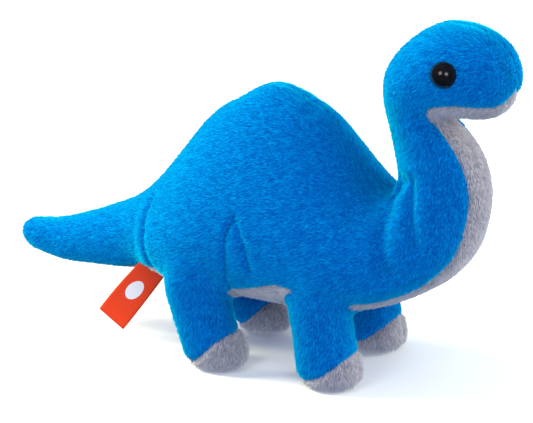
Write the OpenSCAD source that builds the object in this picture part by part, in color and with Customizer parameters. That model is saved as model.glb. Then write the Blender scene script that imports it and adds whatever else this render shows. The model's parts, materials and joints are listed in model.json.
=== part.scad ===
// Stuffed long-necked dinosaur: plush cloth panels over stuffing, with safety eyes and a sewn-in tag.
// X runs from the tail to the snout, Y to the animal's left, Z up. The origin is on the ground
// under the middle of the whole toy. The right side is at negative Y.

/* [Overall size] */
// Length from the tail's tip to the snout
toy_length = 168; // [150:1:190]
// Width across the belly
toy_width = 56; // [54:1:62]
// Height from the soles to the crown of the head
toy_height = 114; // [108:1:124]

/* [Cloth and stuffing] */
// Thickness of the plush cloth with its pile pressed flat
cloth = 1.6; // [1.2:0.1:1.8]
// Room between the cloth and the stuffing behind it
stuffing_gap = 0.25; // [0.2:0.05:0.3]

/* [Legs] */
// Radius of a leg's round top, seen from the side
hip_radius = 13; // [12:0.1:13]
// Height of the hip axes above the ground
hip_height = 34; // [33:0.5:36]
// Distance of a leg's middle from the toy's middle
leg_offset = 17.6; // [17.6:0.1:18.4]
// Half the thickness of a leg from its inner to its outer face
leg_half_width = 9.8; // [9:0.1:9.8]
// Height that the toe cap reaches at the front of the foot
toe_cap_height = 13; // [10:0.5:13.5]

/* [Eyes] */
// Diameter of an eye's dome
eye_diameter = 8; // [7:0.5:9]
// Diameter of the shank behind the dome
shank_diameter = 2.6; // [2.2:0.1:3]
// Diameter of the washer that holds the eye from inside
washer_diameter = 10; // [9:0.5:10]

/* [Tag] */
// Width of the woven tag
tag_width = 9; // [7:0.5:10]
// Length of the tag from the seam to its fold
tag_length = 24; // [16:0.5:25]
// Thickness of the folded tag
tag_thickness = 0.8; // [0.6:0.1:1]

/* [Movement] */
// How far a leg swings each way
leg_swing = 10; // [4:1:10]
// Clearance between pieces that move on each other
move_gap = 0.4; // [0.35:0.05:0.5]

/* [Hidden] */
LEGS = ["front_right", "front_left", "rear_right", "rear_left"];
LEG_PIECES = ["leg_outer_panel", "leg_inner_panel", "toe_cap", "sole", "leg_stuffing"];

blue = "#1583d2";
grey = "#a9a5b4";
red = "#e2401f";
black = "#0c0c10";
white = "#f1f0ea";

scale_x = toy_length / 168;
scale_y = toy_width / 56;
scale_z = toy_height / 114;
small = 0.02;

// The toy's section along its spine, from the tail's tip to the snout. Each row is one rib:
// back x, back z, belly x, belly z, half width, how much wider the top is than the bottom,
// and the angle of the gusset's seam from the belly line.
RIBS = [
    [-84.0, 31.0, -83.7, 26.0, 2.8, 0, 2],
    [-81.5, 33.0, -79.0, 22.0, 5.8, 0, 2],
    [-71.0, 34.0, -67.0, 19.5, 8.0, 0, 2],
    [-59.0, 37.5, -56.0, 20.0, 10.0, 0, 4],
    [-47.0, 42.3, -47.0, 20.4, 11.8, 0, 16],
    [-39.0, 47.0, -38.0, 21.6, 14.0, 0, 30],
    [-31.0, 55.0, -29.0, 22.0, 20.0, -0.20, 40],
    [-23.0, 65.5, -20.0, 20.0, 24.0, -0.28, 34],
    [-12.0, 79.0, -9.0, 19.0, 26.0, -0.33, 28],
    [5.0, 88.0, 6.0, 19.0, 26.5, -0.35, 40],
    [20.5, 84.2, 20.0, 19.0, 26.5, -0.37, 52],
    [31.3, 74.6, 34.0, 20.3, 26.0, -0.38, 40],
    [38.4, 64.6, 48.4, 24.2, 24.5, -0.30, 36],
    [42.5, 59.4, 61.6, 31.2, 22.0, -0.12, 34],
    [45.6, 60.4, 71.5, 41.6, 19.5, 0, 34],
    [47.3, 65.8, 75.4, 53.0, 16.5, 0, 35],
    [46.2, 72.0, 76.0, 63.0, 14.6, 0, 35],
    [44.6, 78.0, 73.8, 71.0, 13.5, 0, 37],
    [43.1, 84.0, 69.5, 77.0, 13.0, 0, 36],
    [42.0, 90.5, 63.5, 81.5, 13.0, 0, 30],
    [43.1, 99.0, 62.0, 84.0, 14.5, 0, 38],
    [50.0, 107.7, 63.5, 85.0, 15.5, 0, 50],
    [60.0, 113.5, 69.0, 84.5, 15.5, 0, 54],
    [71.0, 113.0, 76.0, 85.0, 14.0, 0, 54],
    [79.3, 108.2, 80.7, 88.0, 11.0, 0, 46],
    [83.2, 101.4, 82.6, 92.5, 6.0, 0, 34],
    [84.0, 98.0, 83.8, 95.5, 2.0, 0, 20]
];

// Where the moving pieces part from each other, as places along the spine counted in ribs
tail_root = 5;
trunk_back = 5.52;
trunk_front = 15.45;
neck_base = 16;
neck_top = 18.8;
head_base = 19;
snout = 26;
eye_place = 22.26;
eye_angle = 81;

tail_ball_radius = 10.4 * min(scale_y, scale_z);
neck_ball_radius = 12.2 * min(scale_y, scale_z);
seat_depth = 0.2;
facet_angle = 10;
seam_gap = 0.5;

function lerp(a, b, f) = a + (b - a) * f;
function steps(a, b, n) = [for (i = [0:n]) lerp(a, b, i / n)];

// A smooth curve through the ribs, at any place t along the spine
function rib_row(i) = RIBS[max(0, min(len(RIBS) - 1, i))];
function smooth_rib(p0, p1, p2, p3, f) = 0.5 * (2 * p1 + (p2 - p0) * f
    + (2 * p0 - 5 * p1 + 4 * p2 - p3) * f * f + (3 * p1 - p0 - 3 * p2 + p3) * f * f * f);
function rib(t) = let (i = floor(t))
    smooth_rib(rib_row(i - 1), rib_row(i), rib_row(i + 1), rib_row(i + 2), t - i);

// A point of the skin: t along the spine, angle from the back line on the left side, and how far
// under the surface
function back_point(r) = [r[0] * scale_x, 0, r[1] * scale_z];
function belly_point(r) = [r[2] * scale_x, 0, r[3] * scale_z];
function rib_middle(t) = let (r = rib(t)) (back_point(r) + belly_point(r)) / 2;
function skin_point(t, angle, inset) = let (
        r = rib(t),
        half = (back_point(r) - belly_point(r)) / 2,
        tall = max(norm(half) - inset, 0.3) / norm(half),
        wide = max(r[4] * scale_y - inset, 0.3)
    ) rib_middle(t) + half * tall * cos(angle)
        + [0, wide * sin(angle) * (1 + r[5] * cos(angle)), 0];
function seam_angle(t) = 180 - rib(t)[6];
function unit(v) = v / norm(v);
function skin_normal(t, angle) = unit(cross(
    skin_point(t + 0.05, angle, 0) - skin_point(t - 0.05, angle, 0),
    skin_point(t, angle + 1, 0) - skin_point(t, angle - 1, 0)));

// Faces of a closed wall between an outer and an inner sheet of points, each rows by columns
function quad(a, b, c, d) = [[a, b, c], [a, c, d]];
function wall_faces(rows, columns) = let (w = columns + 1, inner = (rows + 1) * w) concat(
    [for (i = [0:rows - 1]) for (j = [0:columns - 1]) let (a = i * w + j)
        each quad(a, a + 1, a + w + 1, a + w)],
    [for (i = [0:rows - 1]) for (j = [0:columns - 1]) let (a = inner + i * w + j)
        each quad(a + w, a + w + 1, a + 1, a)],
    [for (i = [0:rows - 1]) let (a = i * w) each quad(a + w, inner + a + w, inner + a, a)],
    [for (i = [0:rows - 1]) let (a = i * w + columns) each quad(a, inner + a, inner + a + w, a + w)],
    [for (j = [0:columns - 1]) each quad(j, inner + j, inner + j + 1, j + 1)],
    [for (j = [0:columns - 1]) let (a = rows * w + j) each quad(a + 1, inner + a + 1, inner + a, a)]
);
// Faces of a closed solid made of rings of n points, with a flat cap at each end
function ring_faces(rings, n) = concat(
    [for (i = [0:rings - 2]) for (j = [0:n - 1]) let (k = (j + 1) % n)
        each quad(i * n + j, i * n + k, (i + 1) * n + k, (i + 1) * n + j)],
    [[for (j = [n - 1:-1:0]) j]],
    [[for (j = [0:n - 1]) (rings - 1) * n + j]]
);

// Half a ball at the end of a filling, to turn in a cup: side 1 towards the snout, -1 the tail
module ball_end(t, radius, side) {
    r = rib(t);
    half = back_point(r) - belly_point(r);
    n = side * unit([half[2], 0, -half[0]]);
    translate(rib_middle(t) - seat_depth * n) rotate([0, atan2(n[0], n[2]), 0])
        rotate_extrude($fn = 48) intersection() {
            circle(radius, $fn = 96);
            square(radius);
        }
}

// A cloth panel on the left side, from the back seam to the gusset's seam, or mirrored to the right
module side_panel(t0, t1, rows, columns, right) {
    points = [for (inset = [0, cloth]) for (t = steps(t0, t1, rows))
        for (a = steps(seam_gap, seam_angle(t) - seam_gap, columns)) skin_point(t, a, inset)];
    mirror([0, right ? 1 : 0, 0]) polyhedron(points, wall_faces(rows, columns), convexity = 6);
}

// A gusset across the belly line, from seam to seam
module gusset(t0, t1, rows, columns) {
    points = [for (inset = [0, cloth]) for (t = steps(t0, t1, rows))
        for (a = steps(seam_angle(t) + seam_gap, 360 - seam_angle(t) - seam_gap, columns))
            skin_point(t, a, inset)];
    polyhedron(points, wall_faces(rows, columns), convexity = 6);
}

// The stuffing behind the cloth
module filling(t0, t1, rows) {
    n = 360 / facet_angle;
    points = [for (t = steps(t0, t1, rows)) for (j = [0:n - 1])
        skin_point(t, j * facet_angle, cloth + stuffing_gap)];
    polyhedron(points, ring_faces(rows + 1, n), convexity = 6);
}

// ---- Legs. A leg is a stack of rings under a round top that swings in a pocket of the trunk ----

function is_front(leg) = leg[0] == "f";
function is_right(leg) = leg == "front_right" || leg == "rear_right";
function hip_x(leg) = (is_front(leg) ? 29.5 : -12) * scale_x;
// How far the sole lies in front of the hip
function foot_reach(leg) = is_front(leg) ? 3.2 : 6.5;

// Rings of the leg between the toe cap and the hip: height, part of the reach, part of the hip radius
SHANK = [
    [15, 0.42, 0.85],
    [24, 0.15, 0.95]
];
// Angles of the rings of the round top, above the hip axis
ROUND_TOP = [0, 25, 48, 68, 88];
cap_lean = 0.7;
foot_half_length = 10.4;
sole_half_length = 9.4;
heel_height = 2.8;
cap_gap = 0.15;
sole_thickness = 1.4;
sole_inset = 0.8;
ring_squareness = 0.8;
leg_columns = 12;

function blunt(v) = sign(v) * pow(abs(v), ring_squareness);
function level_ring(x, z, half_x, half_y, angles) =
    [for (a = angles) [x + half_x * blunt(cos(a)), half_y * blunt(sin(a)), z]];
// The toe cap's upper edge slopes from the heel up to the front of the foot
function cap_edge(reach, inset, angles) = [for (a = angles) let (f = blunt(cos(a)))
    [reach * cap_lean + (foot_half_length - inset) * f, (leg_half_width - inset) * blunt(sin(a)),
        lerp(heel_height, toe_cap_height, (1 + f) / 2)]];
function sole_ring(reach, z, inset, angles) =
    level_ring(reach, z, sole_half_length - inset, leg_half_width - sole_inset - inset, angles);
function upper_rings(reach, inset, angles) = concat(
    [cap_edge(reach, inset, angles)],
    [for (s = SHANK) level_ring(s[1] * reach, s[0], s[2] * hip_radius - inset,
        leg_half_width - inset, angles)],
    [for (a = ROUND_TOP) level_ring(0, hip_height + (hip_radius - inset) * sin(a),
        (hip_radius - inset) * cos(a), leg_half_width - inset, angles)]
);
function flatten(rings) = [for (r = rings) each r];

module place_leg(leg) {
    mirror([0, is_right(leg) ? 1 : 0, 0]) translate([hip_x(leg), leg_offset, 0]) children();
}

// The half of the leg's cloth that faces away from the trunk, or the half that faces inwards
module leg_panel(leg, outer) {
    start = outer ? 0 : 180;
    angles = steps(start + seam_gap, start + 180 - seam_gap, leg_columns);
    points = [for (inset = [0, cloth]) each flatten(upper_rings(foot_reach(leg), inset, angles))];
    rows = len(points) / 2 / len(angles) - 1;
    place_leg(leg) polyhedron(points, wall_faces(rows, leg_columns), convexity = 4);
}

// The toe cap runs round the foot, from a seam at the middle of the toes
module toe_cap(leg) {
    columns = 2 * leg_columns;
    angles = steps(seam_gap, 360 - seam_gap, columns);
    reach = foot_reach(leg);
    points = [for (inset = [0, cloth]) each concat(
        sole_ring(reach, sole_thickness + small, inset, angles),
        [for (p = cap_edge(reach, inset, angles)) p - [0, 0, cap_gap]])];
    place_leg(leg) polyhedron(points, wall_faces(1, columns), convexity = 4);
}

module sole(leg) {
    angles = [for (j = [0:2 * leg_columns - 1]) j * 180 / leg_columns];
    rings = [for (z = [0, sole_thickness]) sole_ring(foot_reach(leg), z, 0, angles)];
    place_leg(leg) polyhedron(flatten(rings), ring_faces(2, len(angles)), convexity = 2);
}

module leg_stuffing(leg) {
    reach = foot_reach(leg);
    inset = cloth + stuffing_gap;
    angles = [for (j = [0:2 * leg_columns - 1]) j * 180 / leg_columns];
    rings = concat([sole_ring(reach, sole_thickness + stuffing_gap, inset, angles)],
        upper_rings(reach, inset, angles));
    place_leg(leg) polyhedron(flatten(rings), ring_faces(len(rings), len(angles)), convexity = 4);
}

// The room that a leg swings in: its round top, opening downwards past the swing on both sides
module hip_pocket(leg) {
    radius = hip_radius + move_gap;
    flare = leg_swing + 6;
    drop = 60;
    arc = [for (a = steps(leg_swing, 180 - leg_swing, 14)) radius * [cos(a), sin(a)]];
    skirt = drop * [sin(flare), -cos(flare)];
    outline = concat(arc, [arc[len(arc) - 1] + [-skirt[0], skirt[1]], arc[0] + skirt]);
    inner_face = leg_offset - leg_half_width - move_gap;
    mirror([0, is_right(leg) ? 0 : 1, 0]) translate([hip_x(leg), -inner_face, hip_height])
        rotate([90, 0, 0]) linear_extrude(toy_width) polygon(outline);
}

// ---- Trunk ----

trunk_rows = 17;

module cut_for_legs() {
    difference() {
        children();
        for (leg = LEGS) hip_pocket(leg);
    }
}

module trunk_side(right) {
    color(blue) difference() {
        side_panel(trunk_back, trunk_front, trunk_rows, 13, right);
        for (leg = LEGS) if (is_right(leg) == right) hip_pocket(leg);
    }
}
module trunk_panel_right() { trunk_side(true); }
module trunk_panel_left() { trunk_side(false); }
module belly_gusset() {
    color(grey) cut_for_legs() gusset(trunk_back, trunk_front, trunk_rows, 10);
}
module trunk_stuffing() {
    color(white) difference() {
        cut_for_legs() filling(trunk_back, trunk_front, trunk_rows);
        translate(rib_middle(tail_root)) sphere(tail_ball_radius + move_gap, $fn = 48);
        translate(rib_middle(neck_base)) sphere(neck_ball_radius + move_gap, $fn = 48);
    }
}

// ---- Neck ----

neck_rows = 6;

module neck_panel_right() { color(blue) side_panel(neck_base, neck_top, neck_rows, 13, true); }
module neck_panel_left() { color(blue) side_panel(neck_base, neck_top, neck_rows, 13, false); }
module neck_gusset() { color(grey) gusset(neck_base, neck_top, neck_rows, 8); }
module neck_stuffing() {
    color(white) union() {
        filling(neck_base, neck_top, neck_rows);
        ball_end(neck_base, neck_ball_radius, -1);
    }
}

// ---- Head and eyes ----

head_rows = 13;
dome_height = 0.42 * eye_diameter;
shank_length = 6;
washer_depth = 2.2;
washer_thickness = 1;
washer_dish = 0.8;
fit_gap = 0.05;

// Puts a piece on the head where the eye is, with +Z out of the skin
module place_eye(right) {
    n = skin_normal(eye_place, eye_angle);
    mirror([0, right ? 1 : 0, 0]) translate(skin_point(eye_place, eye_angle, 0))
        rotate([0, acos(n[2]), atan2(n[1], n[0])]) children();
}
module eye(right) {
    r = eye_diameter / 2;
    ball = (r * r + dome_height * dome_height) / 2 / dome_height;
    place_eye(right) rotate_extrude($fn = 48) {
        translate([0, small]) intersection() {
            translate([0, dome_height - ball]) circle(ball, $fn = 96);
            square([r, dome_height]);
        }
        translate([0, -shank_length]) square([shank_diameter / 2, shank_length + small]);
    }
}
module eye_washer(right) {
    bore = shank_diameter / 2 + fit_gap;
    rim = washer_diameter / 2;
    color(white) place_eye(right) rotate_extrude($fn = 48) polygon([
        [bore, -washer_depth],
        [rim, -washer_depth - washer_dish],
        [rim, -washer_depth - washer_dish - washer_thickness],
        [bore, -washer_depth - washer_thickness]
    ]);
}
module eye_right() { color(black) eye(true); }
module eye_left() { color(black) eye(false); }
module eye_washer_right() { eye_washer(true); }
module eye_washer_left() { eye_washer(false); }

module head_side(right) {
    color(blue) difference() {
        side_panel(head_base, snout, head_rows, 12, right);
        place_eye(right) translate([0, 0, -shank_length])
            cylinder(h = 2 * shank_length, d = shank_diameter + 2 * fit_gap, $fn = 32);
    }
}
module head_panel_right() { head_side(true); }
module head_panel_left() { head_side(false); }
module chin_gusset() { color(grey) gusset(head_base, snout, head_rows, 10); }
module head_stuffing() {
    room = washer_depth + washer_dish + washer_thickness + stuffing_gap;
    color(white) difference() {
        filling(head_base, snout, head_rows);
        for (right = [true, false]) place_eye(right) {
            translate([0, 0, -room]) cylinder(h = 2 * room, d = washer_diameter + 0.6, $fn = 48);
            translate([0, 0, -shank_length - stuffing_gap])
                cylinder(h = shank_length, d = shank_diameter + 0.6, $fn = 32);
        }
    }
}

// ---- Tail ----

tail_rows = 9;

module tail_panel_right() { color(blue) side_panel(0, tail_root, tail_rows, 12, true); }
module tail_panel_left() { color(blue) side_panel(0, tail_root, tail_rows, 12, false); }
module tail_gusset() { color(grey) gusset(0, tail_root, tail_rows, 4); }
module tail_stuffing() {
    color(white) union() {
        filling(0, tail_root, tail_rows);
        ball_end(tail_root, tail_ball_radius, 1);
    }
}

// ---- Tag: a folded ribbon sewn into the seam under the root of the tail, on the right ----

tag_edge = [-30 * scale_x, -7.5 * scale_y, 22.6 * scale_z];
tag_slope = 54;

module tag() {
    along = tag_length * [-cos(tag_slope), -sin(tag_slope)];
    across = tag_width * [-sin(tag_slope), cos(tag_slope)];
    seam_width = tag_width / sin(tag_slope);
    fold = [along, along + across];
    color(red) translate(tag_edge) rotate([90, 0, 0])
        linear_extrude(tag_thickness, center = true)
            polygon([[0, 0], fold[0], fold[1], [-seam_width, 0]]);
}

trunk_panel_right();
trunk_panel_left();
belly_gusset();
trunk_stuffing();
neck_panel_right();
neck_panel_left();
neck_gusset();
neck_stuffing();
head_panel_right();
head_panel_left();
chin_gusset();
head_stuffing();
eye_right();
eye_left();
eye_washer_right();
eye_washer_left();
tail_panel_right();
tail_panel_left();
tail_gusset();
tail_stuffing();
tag();
for (leg = LEGS) {
    color(blue) leg_panel(leg, true);
    color(blue) leg_panel(leg, false);
    color(grey) toe_cap(leg);
    color(grey) sole(leg);
    color(white) leg_stuffing(leg);
}
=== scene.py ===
import json
from math import atan2, copysign, cos, pi, radians, sin

import bmesh
import bpy
import numpy as np
from bpy.props import FloatProperty, FloatVectorProperty, IntProperty, PointerProperty
from mathutils import Matrix, Vector, kdtree
from mathutils.bvhtree import BVHTree


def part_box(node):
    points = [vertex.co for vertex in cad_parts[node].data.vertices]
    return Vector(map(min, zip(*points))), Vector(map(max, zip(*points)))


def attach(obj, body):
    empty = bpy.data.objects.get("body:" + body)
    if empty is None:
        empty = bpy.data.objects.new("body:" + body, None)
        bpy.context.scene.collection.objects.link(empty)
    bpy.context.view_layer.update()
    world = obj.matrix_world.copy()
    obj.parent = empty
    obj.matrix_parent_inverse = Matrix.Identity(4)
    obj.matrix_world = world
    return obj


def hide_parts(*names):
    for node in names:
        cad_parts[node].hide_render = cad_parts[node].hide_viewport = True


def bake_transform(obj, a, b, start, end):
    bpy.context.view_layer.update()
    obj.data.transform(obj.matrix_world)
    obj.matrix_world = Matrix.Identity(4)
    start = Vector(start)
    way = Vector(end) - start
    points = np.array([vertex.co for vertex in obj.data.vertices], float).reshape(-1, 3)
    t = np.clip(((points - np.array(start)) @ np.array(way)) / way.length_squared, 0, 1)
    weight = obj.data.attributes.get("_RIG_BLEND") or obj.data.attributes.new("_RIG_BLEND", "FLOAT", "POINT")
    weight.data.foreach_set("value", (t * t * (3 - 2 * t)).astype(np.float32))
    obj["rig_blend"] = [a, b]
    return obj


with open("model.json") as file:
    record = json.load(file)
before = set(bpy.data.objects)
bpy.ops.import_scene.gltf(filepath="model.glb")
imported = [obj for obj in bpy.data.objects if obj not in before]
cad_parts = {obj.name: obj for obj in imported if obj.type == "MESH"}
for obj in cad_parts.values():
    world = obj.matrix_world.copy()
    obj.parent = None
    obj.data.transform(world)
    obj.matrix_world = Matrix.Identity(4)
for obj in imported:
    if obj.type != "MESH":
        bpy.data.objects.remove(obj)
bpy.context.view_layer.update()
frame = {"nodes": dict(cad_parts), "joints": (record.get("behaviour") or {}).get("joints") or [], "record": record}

bl_info = {
    "name": "Stuffed Dinosaur",
    "version": (1, 0, 0),
    "blender": (4, 5, 0),
    "location": "3D View > Sidebar > Dinosaur",
    "description": "Plush skin, pile, eyes and tag for a stuffed long-necked dinosaur",
    "category": "Add Mesh",
}

MM = 0.001
SIDES = {"right": -1, "left": 1}
LEGS = ("front_right", "front_left", "rear_right", "rear_left")
# Each leg's hip in mm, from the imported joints
HIPS = {joint["name"].removesuffix("_hip"): Vector(joint["pos_m"]) / MM
        for joint in frame["joints"] if joint["name"].endswith("_hip")}
# What one operator leaves for the next: the body's loft, the cut form, its panels and the plush
FORM = {}

# The toy's section along its spine, from the tail's tip to the snout, in mm. Each row is one rib:
# back x, back z, belly x, belly z, half width, how much wider the top is than the bottom,
# and the angle of the gusset's seam from the belly line.
RIBS = np.array([
    [-84.0, 31.0, -83.7, 26.0, 2.8, 0, 2],
    [-81.5, 33.0, -79.0, 22.0, 5.8, 0, 2],
    [-71.0, 34.0, -67.0, 19.5, 8.0, 0, 2],
    [-59.0, 37.5, -56.0, 20.0, 10.0, 0, 4],
    [-47.0, 42.3, -47.0, 20.4, 11.8, 0, 16],
    [-39.0, 47.0, -38.0, 21.6, 14.0, 0, 30],
    [-31.0, 55.0, -29.0, 22.0, 20.0, -0.20, 40],
    [-23.0, 65.5, -20.0, 20.0, 24.0, -0.28, 34],
    [-12.0, 79.0, -9.0, 19.0, 26.0, -0.33, 28],
    [5.0, 88.0, 6.0, 19.0, 26.5, -0.35, 40],
    [20.5, 84.2, 20.0, 19.0, 26.5, -0.37, 52],
    [31.3, 74.6, 34.0, 20.3, 26.0, -0.38, 40],
    [38.4, 64.6, 48.4, 24.2, 24.5, -0.30, 36],
    [42.5, 59.4, 61.6, 31.2, 22.0, -0.12, 34],
    [45.6, 60.4, 71.5, 41.6, 19.5, 0, 34],
    [47.3, 65.8, 75.4, 53.0, 16.5, 0, 35],
    [46.2, 72.0, 76.0, 63.0, 14.6, 0, 35],
    [44.6, 78.0, 73.8, 71.0, 13.5, 0, 37],
    [43.1, 84.0, 69.5, 77.0, 13.0, 0, 36],
    [42.0, 90.5, 63.5, 81.5, 13.0, 0, 30],
    [43.1, 99.0, 62.0, 84.0, 14.5, 0, 38],
    [50.0, 107.7, 63.5, 85.0, 15.5, 0, 50],
    [60.0, 113.5, 69.0, 84.5, 15.5, 0, 54],
    [71.0, 113.0, 76.0, 85.0, 14.0, 0, 54],
    [79.3, 108.2, 80.7, 88.0, 11.0, 0, 46],
    [83.2, 101.4, 82.6, 92.5, 6.0, 0, 34],
    [84.0, 98.0, 83.8, 95.5, 2.0, 0, 20],
])
SNOUT = len(RIBS) - 1
# The first places along the spine, counted in ribs, that the neck's and the head's bends can reach
NECK_FROM = 13.5
HEAD_FROM = 16.0
# The eye's place along the spine and around the head
EYE_PLACE, EYE_ANGLE = 22.26, radians(81)

# Where the cloth bends between two bodies: the parent, the child, and the points, in mm, at which
# the bend starts and ends. The panels of the moving piece are parted from the next at its start.
BENDS = {
    "tail": ("trunk", "tail", (-34.5, 0, 36.0), (-47.5, 0, 34.0)),
    "neck": ("trunk", "neck", (61.0, 0, 59.5), (66.7, 0, 72.3)),
    "head": ("neck", "head", (50.44, 0, 80.47), (53.52, 0, 87.84)),
}

# A leg's rings from the sole up: height, part of the foot's reach, half length and half width, in mm
LEG_RINGS = (
    (0.4, 1.0, 7.0, 6.6),
    (0.8, 1.02, 9.0, 8.4),
    (2.6, 1.0, 10.4, 9.4),
    (6.0, 0.9, 10.8, 9.7),
    (10.0, 0.66, 10.6, 9.6),
    (15.0, 0.28, 9.9, 9.2),
    (24.0, -0.12, 10.5, 9.3),
    (34.0, 0.0, 12.4, 9.5),
    (41.0, 0.0, 10.5, 7.5),
    (46.0, 0.0, 6.0, 4.0),
)
# How square a leg's rings are: 1 is a plain ellipse, and less is squarer
LEG_BLUNTNESS = 0.85
# The height of a leg's top seam, and the heights between which a leg bends, in mm
LEG_TOP = 31.0
LEG_BEND = (20.0, 10.0)
# A leg belongs to the leg's panels where it stands this far out of the body, in mm
LEG_CLEAR = 0.6
# The angles between which a leg's outer panel lies, from its front round its outer side
OUTER_PANEL = (radians(38), radians(160))
# The toe cap's upper seam, from heel to toe: how far in front of the sole's middle, and its height
CAP_SEAMS = {
    "front": ((-11.0, 2.4), (-5.0, 3.4), (0.0, 5.4), (4.0, 8.6), (8.0, 12.0), (11.0, 13.4)),
    "rear": ((-11.0, 2.0), (-5.0, 3.2), (-2.0, 5.6), (2.5, 10.4), (7.0, 13.0), (11.0, 13.8)),
}
SOLE_HEIGHT = 1.5

# Creases of the stuffed cloth on each side, as x and z in mm, with their depth and half width: the
# two stitched lines of the dart behind the ribs first, then the soft folds of the neck and the tail
DARTS = 2
CREASES = (
    (((4.4, 52.8), (1.7, 45.4), (1.2, 34.8), (0.5, 29.5), (0.8, 22.7), (1.8, 15.7)), 1.4, 0.8),
    (((4.4, 52.8), (7.4, 46.3), (8.7, 42), (9.6, 36)), 1.3, 0.8),
    (((55.8, 67.1), (57.2, 58.3), (59.9, 48.8)), 2.0, 1.9),
    (((53.1, 66.4), (48, 61.4), (49.8, 47.6), (52.1, 39.2)), 1.8, 2.2),
    (((-30.0, 50.5), (-31.2, 44), (-30.6, 36), (-28.0, 27.8)), 1.3, 1.2),
    (((-36.0, 44.5), (-36.6, 38.5), (-35.6, 33.0)), 0.45, 1.2),
)
# The places along the spine where the back seam starts and ends
BACK_SEAM_FROM, BACK_SEAM_TO = 4.0, 26.0
# How deep each kind of seam is, as a part of the seam depth
SEAM_SHARES = {"gusset": 0.8, "leg_side": 0.5, "cap": 1.0, "toe": 0.7, "back": 0.5, "leg_top": 0.5}
# Place along the spine, depth in mm, half length in ribs and half width in radians of the hollow
# between hump and neck, and of the small peak on the hump
NECK_HOLLOW = (12.3, 1.5, 1.6, 0.6)
HUMP_PEAK = (9.1, 0.8, 0.4, 0.3)
# Depth and half width of the dimple that an eye pulls into the cloth, in mm
EYE_DIMPLE = (0.4, 3.6)
# The pile starts this far from an eye's middle and stands full after the next distance, in mm
EYE_CLEARING = (3.4, 0.4)
# How much the nap turns down on the body, and its direction on the legs
NAP_DROOP = 0.35
LEG_NAP = (-0.12, 0.0, -1.0)
# A distance, in mm, that stands for far away from a seam
FAR = 9.0


def linear(hex_colour):
    """The linear colour of an sRGB hex value."""
    parts = [int(hex_colour[i:i + 2], 16) / 255 for i in (1, 3, 5)]
    return [c / 12.92 if c <= 0.04045 else ((c + 0.055) / 1.055) ** 2.4 for c in parts]


def metres(point):
    """A point in mm as metres."""
    return Vector(point) * MM


# ---------------------------------------------------------------- the toy's pattern


def rib(t):
    """The ribs at places t along the spine, on a smooth curve through the rows."""
    t = np.asarray(t, float)
    i = np.clip(t, 0, SNOUT - 1e-6).astype(int)
    f = (t - i)[..., None]
    p0, p1, p2, p3 = (RIBS[np.clip(i + k, 0, SNOUT)] for k in (-1, 0, 1, 2))
    return 0.5 * (2 * p1 + (p2 - p0) * f + (2 * p0 - 5 * p1 + 4 * p2 - p3) * f ** 2
                  + (3 * p1 - p0 - 3 * p2 + p3) * f ** 3)


def skin(t, angle, inset=0.0):
    """Points of the skin in metres: the angle starts at the back line and grows to the left."""
    r = rib(t)
    half = (r[..., 0:2] - r[..., 2:4]) / 2
    length = np.linalg.norm(half, axis=-1)
    tall = np.maximum(length - inset, 0.3) / length * np.cos(angle)
    wide = np.maximum(r[..., 4] - inset, 0.3)
    middle = (r[..., 0:2] + r[..., 2:4]) / 2
    return np.stack([
        middle[..., 0] + half[..., 0] * tall,
        wide * np.sin(angle) * (1 + r[..., 5] * np.cos(angle)),
        middle[..., 1] + half[..., 1] * tall,
    ], -1) * MM


def skin_normal(t, angle):
    """The outward direction of the skin."""
    along = Vector(skin(t + 0.05, angle) - skin(t - 0.05, angle))
    around = Vector(skin(t, angle + 0.02) - skin(t, angle - 0.02))
    out = around.cross(along).normalized()
    return out if out.dot(Vector(skin(t, angle)) - Vector(skin(t, angle + pi))) > 0 else -out


def reach(leg):
    """How far a foot stands in front of its hip, in mm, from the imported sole."""
    low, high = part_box(leg + "_sole")
    return (low.x + high.x) / 2 / MM - HIPS[leg].x


def leg_point(leg, ring, angle, inset=0.0):
    """A point of a leg's ring: the angle is 0 at the front and grows to the outer side."""
    height, lean, half_length, half_width = ring
    forward, outward = (copysign(abs(part) ** LEG_BLUNTNESS, part) for part in (cos(angle), sin(angle)))
    x = HIPS[leg].x + lean * reach(leg) + max(half_length - inset, 1) * forward
    y = abs(HIPS[leg].y) + max(half_width - inset, 1) * outward
    return Vector((x, copysign(y, HIPS[leg].y), height)) * MM


# ---------------------------------------------------------------- mesh helpers

BODY_RING_POINTS, LEG_RING_POINTS = 72, 40
GROUND_GAP = 0.05 * MM


def each_once(items):
    """The items without repeats, in their first order, so that every run makes the same mesh."""
    return list(dict.fromkeys(items))


def add_loft(bm, places, count):
    """A closed solid through rings of count vertices, each ring put where its place says."""
    rings, faces = [], []
    for place in places:
        ring = bmesh.ops.create_circle(bm, cap_ends=False, radius=1.0, segments=count)["verts"]
        for v in ring:
            v.co = place(atan2(v.co.y, v.co.x))
        rings.append(each_once(e for v in ring for e in v.link_edges))
    for a, b in zip(rings, rings[1:]):
        faces += bmesh.ops.bridge_loops(bm, edges=a + b)["faces"]
    for ring in (rings[0], rings[-1]):
        faces += bmesh.ops.holes_fill(bm, edges=ring, sides=count)["faces"]
    bmesh.ops.recalc_face_normals(bm, faces=faces)


def add_body(bm, first, last, count, inset):
    """The body's loft between two places along the spine."""
    places = np.linspace(first, last, count)
    add_loft(bm, [lambda a, t=t: Vector(skin(t, a, inset)) for t in places], BODY_RING_POINTS)


def add_leg(bm, leg, rings, inset):
    """A leg's loft through its rings."""
    add_loft(bm, [lambda a, r=r: leg_point(leg, r, a, inset) for r in rings], LEG_RING_POINTS)


def new_object(name, bm):
    """Makes a bmesh an object of the scene."""
    mesh = bpy.data.meshes.new(name)
    bm.to_mesh(mesh)
    bm.free()
    made = bpy.data.objects.new(name, mesh)
    bpy.context.scene.collection.objects.link(made)
    return made


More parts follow.
